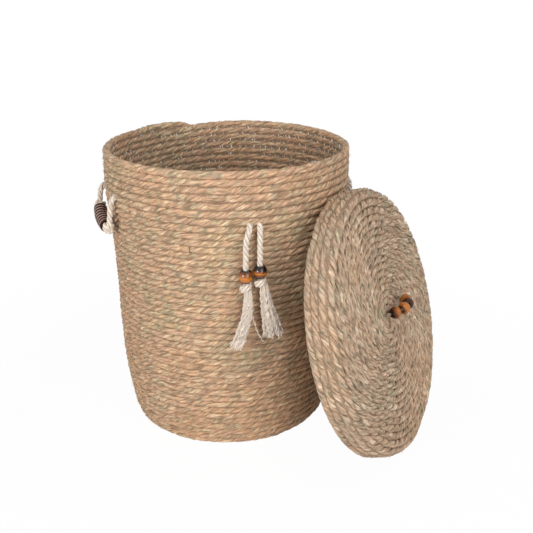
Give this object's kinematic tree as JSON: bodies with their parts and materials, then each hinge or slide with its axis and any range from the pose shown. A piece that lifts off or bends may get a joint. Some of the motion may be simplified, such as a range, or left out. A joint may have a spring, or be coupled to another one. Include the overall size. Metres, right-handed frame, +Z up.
{
  "type": "coiled seagrass laundry basket with lid",
  "caption": "Round laundry basket of coiled seagrass rope with a loose lid, wooden disc drop handles, a bead arch on the lid and beaded cotton tassels on the front.",
  "frame": {"origin": "middle of the base's underside, on the floor", "axes": "+Z up along the basket's axis; +X from the basket towards the lid that leans on its side"},
  "size_m": [0.5681, 0.4459, 0.48],
  "materials": {
    "seagrass_rope": "matte twisted dried grass",
    "cotton_cord": "matte twisted cotton",
    "lacquered_bead": "gloss lacquer over burnt wood",
    "dark_disc": "satin",
    "light_disc": "satin"
  },
  "bodies": {
    "basket": {"base_coil": "seagrass_rope", "wall_coil": "seagrass_rope", "rim_rope": "seagrass_rope", "left_handle_anchors": "cotton_cord", "right_handle_anchors": "cotton_cord", "tassel_bridge": "cotton_cord"},
    "lid": {"lid_top_coil": "seagrass_rope", "lid_skirt_coil": "seagrass_rope", "lid_handle_anchors": "cotton_cord"},
    "lid_handle": {"lid_handle_cord": "cotton_cord", "lid_bead_1": "lacquered_bead", "lid_bead_2": "lacquered_bead", "lid_bead_3": "lacquered_bead", "lid_bead_4": "lacquered_bead"},
    "left_handle": {"left_handle_cord": "cotton_cord", "left_handle_dark_discs": "dark_disc", "left_handle_light_discs": "light_disc"},
    "left_tassel": {"left_tassel_cord": "cotton_cord", "left_tassel_knot": "cotton_cord", "left_tassel_fringe": "cotton_cord"},
    "left_bead": {"left_tassel_bead": "lacquered_bead"},
    "right_handle": {"right_handle_cord": "cotton_cord", "right_handle_dark_discs": "dark_disc", "right_handle_light_discs": "light_disc"},
    "right_tassel": {"right_tassel_cord": "cotton_cord", "right_tassel_knot": "cotton_cord", "right_tassel_fringe": "cotton_cord"},
    "right_bead": {"right_tassel_bead": "lacquered_bead"}
  },
  "joints": [
    {"name": "lid_lift", "type": "slide", "parent": "basket", "child": "lid", "axis": [0.9641, 0, 0.2656], "range_m": [0, 0.3]},
    {"name": "lid_handle_flop", "type": "hinge", "parent": "lid", "child": "lid_handle", "pos_m": [0.30814, -0.0047, 0.23837], "axis": [0, 1, 0], "range_deg": [-55, 55]},
    {"name": "left_handle_swing", "type": "hinge", "parent": "basket", "child": "left_handle", "pos_m": [-0.14714, -0.14714, 0.416], "axis": [-0.7071, 0.7071, 0], "range_deg": [0, 150]},
    {"name": "right_handle_swing", "type": "hinge", "parent": "basket", "child": "right_handle", "pos_m": [0.14714, 0.14714, 0.416], "axis": [0.7071, -0.7071, 0], "range_deg": [0, 150]},
    {"name": "left_tassel_swing", "type": "hinge", "parent": "basket", "child": "left_tassel", "pos_m": [0.12793, -0.16682, 0.398], "axis": [-0.7716, -0.6361, 0], "range_deg": [0, 90]},
    {"name": "left_bead_slide", "type": "slide", "parent": "left_tassel", "child": "left_bead", "axis": [0.0139, 0.0115, 0.9998], "range_m": [0, 0.03]},
    {"name": "right_tassel_swing", "type": "hinge", "parent": "basket", "child": "right_tassel", "pos_m": [0.13935, -0.15741, 0.398], "axis": [-0.7716, -0.6361, 0], "range_deg": [0, 90]},
    {"name": "right_bead_slide", "type": "slide", "parent": "right_tassel", "child": "right_bead", "axis": [0.0076, 0.0063, 1], "range_m": [0, 0.027]}
  ]
}
